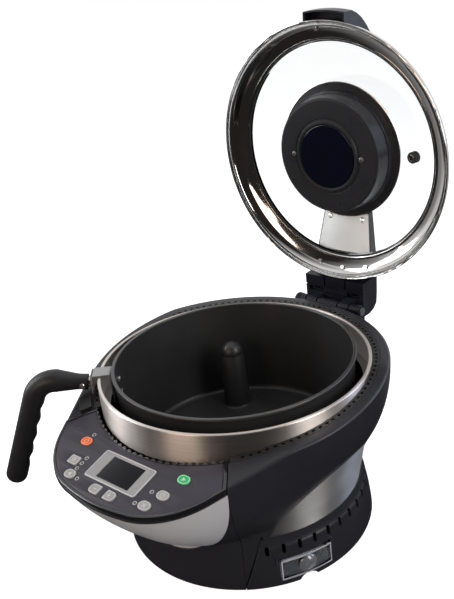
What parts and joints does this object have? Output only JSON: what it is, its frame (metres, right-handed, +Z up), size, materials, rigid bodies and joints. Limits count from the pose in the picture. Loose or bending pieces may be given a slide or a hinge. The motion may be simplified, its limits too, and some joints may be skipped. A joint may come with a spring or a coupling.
{
  "type": "multicooker",
  "caption": "Countertop multicooker: hinged glass lid with steel rim, lift-out pot with side handle, sloped key panel and display over a silver pod, vented foot with clear drip drawer.",
  "frame": {"origin": "on the pot's vertical axis, at table level under the middle foot", "axes": "+Z up, -Y towards the control panel, +Y towards the lid hinge, +X to the right of a user who stands in front of the panel, the side with the drip drawer"},
  "size_m": [0.3434, 0.4285, 0.4813],
  "materials": {
    "black_plastic": "satin",
    "rubber": "matte",
    "brushed_steel": "brushed",
    "polished_steel": "polished",
    "sheet_metal": "mill",
    "cast_aluminium": "cast",
    "nonstick_pot": "nonstick coated, satin",
    "silver_paint": "metallic silver",
    "gloss_black": "gloss",
    "charcoal_film": "fine matt film",
    "display": "gloss",
    "circuit_board": "matte",
    "lamp_lens": "gloss",
    "orange_key": "satin",
    "green_key": "satin",
    "grey_key": "satin",
    "clear_plastic": "clear",
    "glass": "clear"
  },
  "bodies": {
    "base": {"feet": "rubber", "bottom_plate": "sheet_metal", "base_screws": "polished_steel", "base_skirt": "black_plastic", "steel_band": "brushed_steel", "housing": "black_plastic", "front_leg": "black_plastic", "pod": "silver_paint", "vent_ring": "black_plastic", "handle_saddle": "black_plastic", "panel_bezel": "gloss_black", "panel_film": "charcoal_film", "display_frame": "silver_paint", "display_window": "display", "control_board": "circuit_board", "indicator_leds": "lamp_lens", "steel_ring": "brushed_steel", "chamber": "sheet_metal", "heater_plate": "cast_aluminium", "thermostat_spring": "polished_steel", "thermostat_seat": "sheet_metal", "sensor_probe": "polished_steel", "power_board": "circuit_board", "mains_inlet": "black_plastic", "inlet_pins": "polished_steel", "hinge_bracket": "black_plastic", "hinge_pin": "polished_steel", "bracket_screws": "polished_steel"},
    "lid": {"lid_rim": "polished_steel", "lid_glass": "glass", "lid_gasket": "rubber", "hub": "black_plastic", "hub_cap": "gloss_black", "hub_screws": "polished_steel", "hub_stud": "polished_steel", "steam_vent": "black_plastic", "lid_arm": "black_plastic", "arm_plate": "silver_paint", "arm_screws": "polished_steel", "lid_grip": "black_plastic", "rim_screws": "polished_steel"},
    "pot": {"pot": "nonstick_pot", "pot_bracket": "brushed_steel", "pot_grip": "black_plastic", "pot_rivets": "polished_steel", "grip_screw": "polished_steel"},
    "drawer": {"drip_drawer": "clear_plastic"},
    "thermostat": {"thermostat": "polished_steel"},
    "key_power": {"key_power": "orange_key"},
    "key_start": {"key_start": "green_key"},
    "key_menu": {"key_menu": "grey_key"},
    "key_left": {"key_left": "grey_key"},
    "key_minus": {"key_minus": "grey_key"},
    "key_plus": {"key_plus": "grey_key"},
    "key_timer": {"key_timer": "grey_key"},
    "key_cancel": {"key_cancel": "grey_key"}
  },
  "joints": [
    {"name": "lid_hinge", "type": "hinge", "parent": "base", "child": "lid", "pos_m": [0, 0.1665, 0.1675], "axis": [-1, 0, 0], "range_deg": [-90, 0]},
    {"name": "pot_lift", "type": "slide", "parent": "base", "child": "pot", "axis": [0, 0, 1], "range_m": [0, 0.15]},
    {"name": "drawer_slide", "type": "slide", "parent": "base", "child": "drawer", "axis": [0.9033, -0.4289, 0], "range_m": [0, 0.045]},
    {"name": "thermostat_press", "type": "slide", "parent": "base", "child": "thermostat", "axis": [0, 0, 1], "range_m": [-0.002, 0], "stiffness_N_per_m": 600, "springref_m": 0.004},
    {"name": "key_power_press", "type": "slide", "parent": "base", "child": "key_power", "axis": [0, -0.2425, 0.9701], "range_m": [-0.0008, 0], "stiffness_N_per_m": 300, "springref_m": 0.002},
    {"name": "key_start_press", "type": "slide", "parent": "base", "child": "key_start", "axis": [0, -0.2425, 0.9701], "range_m": [-0.0008, 0], "stiffness_N_per_m": 300, "springref_m": 0.002},
    {"name": "key_menu_press", "type": "slide", "parent": "base", "child": "key_menu", "axis": [0, -0.2425, 0.9701], "range_m": [-0.0008, 0], "stiffness_N_per_m": 300, "springref_m": 0.002},
    {"name": "key_left_press", "type": "slide", "parent": "base", "child": "key_left", "axis": [0, -0.2425, 0.9701], "range_m": [-0.0008, 0], "stiffness_N_per_m": 300, "springref_m": 0.002},
    {"name": "key_minus_press", "type": "slide", "parent": "base", "child": "key_minus", "axis": [0, -0.2425, 0.9701], "range_m": [-0.0008, 0], "stiffness_N_per_m": 300, "springref_m": 0.002},
    {"name": "key_plus_press", "type": "slide", "parent": "base", "child": "key_plus", "axis": [0, -0.2425, 0.9701], "range_m": [-0.0008, 0], "stiffness_N_per_m": 300, "springref_m": 0.002},
    {"name": "key_timer_press", "type": "slide", "parent": "base", "child": "key_timer", "axis": [0, -0.2425, 0.9701], "range_m": [-0.0008, 0], "stiffness_N_per_m": 300, "springref_m": 0.002},
    {"name": "key_cancel_press", "type": "slide", "parent": "base", "child": "key_cancel", "axis": [0, -0.2425, 0.9701], "range_m": [-0.0008, 0], "stiffness_N_per_m": 300, "springref_m": 0.002}
  ]
}
